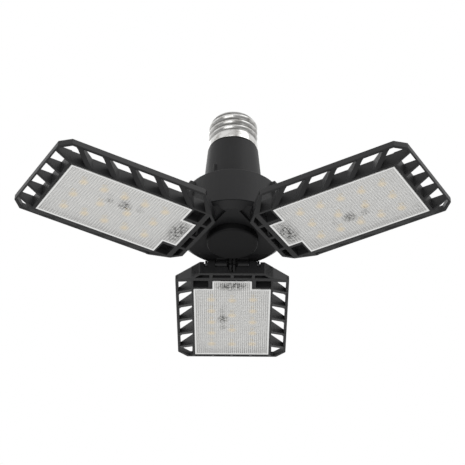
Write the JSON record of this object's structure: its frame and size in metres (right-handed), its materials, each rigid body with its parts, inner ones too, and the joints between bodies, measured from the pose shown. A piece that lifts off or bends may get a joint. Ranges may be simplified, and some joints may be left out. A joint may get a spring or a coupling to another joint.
{
  "type": "deformable garage light",
  "caption": "Screw-in ceiling light with a central hub and folding slatted panels, each holding a flat ribbed diffuser over a board of light-emitting packages.",
  "frame": {"origin": "on the axis of the screw base, at the foot of the metal shell where it sits on the neck", "axes": "+Z along the axis of the screw base, up into the socket; +Y along the back panel; +X to the right, between the back panel and the right panel, as seen by someone who faces +Y"},
  "size_m": [0.2196, 0.192, 0.0892],
  "materials": {
    "shell_metal": "satin",
    "contact_metal": "satin",
    "base_insulator": "gloss",
    "black_housing": "matt",
    "black_frame": "matt",
    "screw_steel": "satin",
    "hinge_steel": "satin",
    "board_white": "satin",
    "led_yellow": "satin",
    "chip_black": "matt",
    "diffuser": "frosted",
    "terminal": "matt",
    "lead_black": "matt",
    "lead_white": "matt",
    "driver_green": "satin",
    "capacitor_sleeve": "gloss",
    "ferrite": "matt",
    "copper_winding": "gloss",
    "film_red": "gloss",
    "fuse_green": "satin",
    "lead_red": "matt"
  },
  "bodies": {
    "hub": {"screw_shell": "shell_metal", "base_insulator": "base_insulator", "center_contact": "contact_metal", "neck_housing": "black_housing", "hub_housing": "black_housing", "hub_base": "black_housing", "center_cap": "black_housing", "housing_screws": "screw_steel", "driver_board": "driver_green", "smoothing_capacitors": "capacitor_sleeve", "transformer_core": "ferrite", "transformer_winding": "copper_winding", "input_choke": "ferrite", "film_capacitor": "film_red", "bridge_rectifier": "chip_black", "fuse_resistor": "fuse_green", "live_lead": "lead_red", "neutral_lead": "lead_white", "back_lead_in": "lead_black", "left_lead_in": "lead_black", "right_lead_in": "lead_black"},
    "back_panel": {"back_frame": "black_frame", "back_led_board": "board_white", "back_led_chips": "led_yellow", "back_driver_chips": "chip_black", "back_diffuser": "diffuser", "back_hinge_screws": "hinge_steel", "back_hinge_washers": "hinge_steel", "back_board_screws": "screw_steel", "back_lead_terminal": "terminal", "back_lead_out": "lead_black"},
    "left_panel": {"left_frame": "black_frame", "left_led_board": "board_white", "left_led_chips": "led_yellow", "left_driver_chips": "chip_black", "left_diffuser": "diffuser", "left_hinge_screws": "hinge_steel", "left_hinge_washers": "hinge_steel", "left_board_screws": "screw_steel", "left_lead_terminal": "terminal", "left_lead_out": "lead_black"},
    "right_panel": {"right_frame": "black_frame", "right_led_board": "board_white", "right_led_chips": "led_yellow", "right_driver_chips": "chip_black", "right_diffuser": "diffuser", "right_hinge_screws": "hinge_steel", "right_hinge_washers": "hinge_steel", "right_board_screws": "screw_steel", "right_lead_terminal": "terminal", "right_lead_out": "lead_black"}
  },
  "joints": [
    {"name": "back_panel_fold", "type": "hinge", "parent": "hub", "child": "back_panel", "pos_m": [0, 0.0222, -0.05875], "axis": [-1, 0, 0], "range_deg": [0, 91.5]},
    {"name": "left_panel_fold", "type": "hinge", "parent": "hub", "child": "left_panel", "pos_m": [-0.01923, -0.0111, -0.05875], "axis": [0.5, -0.866, 0], "range_deg": [0, 91.5]},
    {"name": "right_panel_fold", "type": "hinge", "parent": "hub", "child": "right_panel", "pos_m": [0.01923, -0.0111, -0.05875], "axis": [0.5, 0.866, 0], "range_deg": [0, 91.5]}
  ]
}
